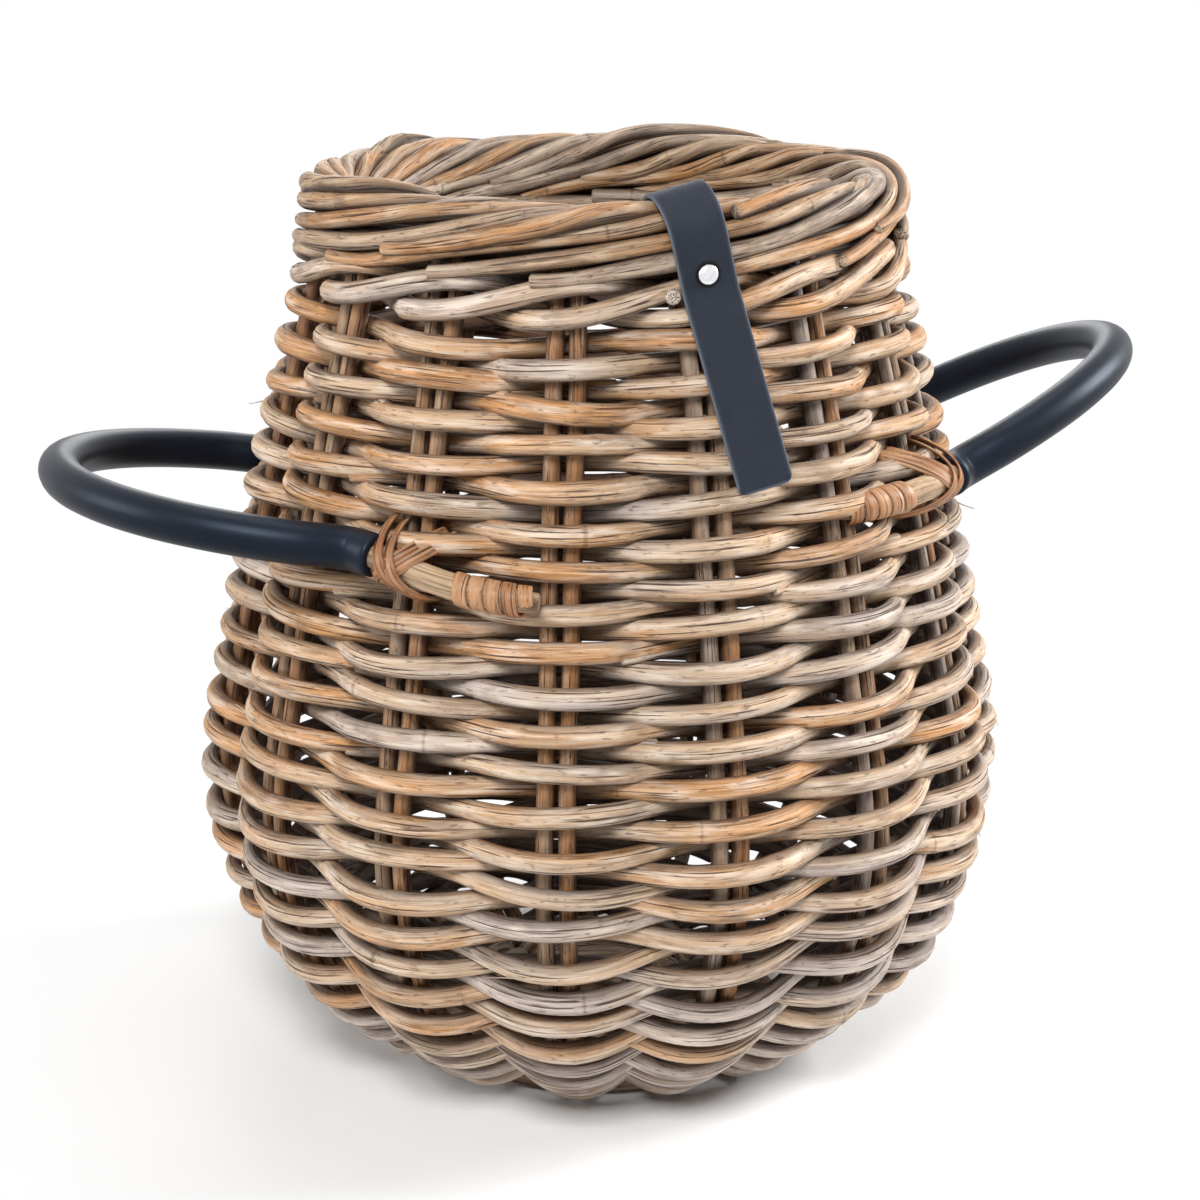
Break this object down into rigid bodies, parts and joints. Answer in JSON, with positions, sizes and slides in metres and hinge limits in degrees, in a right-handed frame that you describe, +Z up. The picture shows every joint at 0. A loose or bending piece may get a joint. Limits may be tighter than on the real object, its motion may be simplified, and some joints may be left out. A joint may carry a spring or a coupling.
{
  "type": "rattan basket",
  "caption": "Pear-shaped woven rattan basket with a narrow open mouth, rolled border, sleeved hoop handles and a leather strap looped over the rim.",
  "frame": {"origin": "centre of the flat underside of the base, where the basket rests", "axes": "+Z up through the mouth; the handles stand on +X and -X; the strap hangs at the front, towards -Y"},
  "size_m": [0.5478, 0.3999, 0.4539],
  "materials": {
    "kubu_rattan": "satin",
    "rattan_stake": "satin",
    "border_rattan": "satin",
    "cane_core": "satin",
    "handle_sleeve": "satin",
    "rattan_peel": "satin",
    "strap_leather": "matte",
    "rivet_steel": "polished"
  },
  "bodies": {
    "basket": {"stake_pair_01": "rattan_stake", "stake_pair_02": "rattan_stake", "stake_pair_03": "rattan_stake", "stake_pair_04": "rattan_stake", "stake_pair_05": "rattan_stake", "stake_pair_06": "rattan_stake", "stake_pair_07": "rattan_stake", "stake_pair_08": "rattan_stake", "stake_pair_09": "rattan_stake", "stake_pair_10": "rattan_stake", "stake_pair_11": "rattan_stake", "stake_pair_12": "rattan_stake", "stake_pair_13": "rattan_stake", "stake_pair_14": "rattan_stake", "stake_pair_15": "rattan_stake", "weaver_01": "kubu_rattan", "weaver_02": "kubu_rattan", "weaver_03": "kubu_rattan", "weaver_04": "kubu_rattan", "weaver_05": "kubu_rattan", "weaver_06": "kubu_rattan", "weaver_07": "kubu_rattan", "weaver_08": "kubu_rattan", "weaver_09": "kubu_rattan", "top_wale_rod_1": "kubu_rattan", "top_wale_rod_2": "kubu_rattan", "top_wale_rod_3": "kubu_rattan", "border_rod_1": "border_rattan", "border_rod_2": "border_rattan", "border_rod_3": "border_rattan", "border_rod_4": "border_rattan", "base_weave": "kubu_rattan", "handle_core_right": "cane_core", "handle_core_left": "cane_core", "handle_sleeve_right": "handle_sleeve", "handle_sleeve_left": "handle_sleeve", "lashing_right_front": "rattan_peel", "lashing_right_back": "rattan_peel", "lashing_left_front": "rattan_peel", "lashing_left_back": "rattan_peel", "strap_loop": "strap_leather", "rivet": "rivet_steel", "rivet_washer": "rivet_steel"},
    "strap": {"strap_tail": "strap_leather"}
  },
  "joints": [
    {"name": "strap_lift", "type": "hinge", "parent": "basket", "child": "strap", "pos_m": [0.00695, -0.15204, 0.40789], "axis": [-0.9738, -0.034, -0.225], "range_deg": [0, 75]}
  ]
}
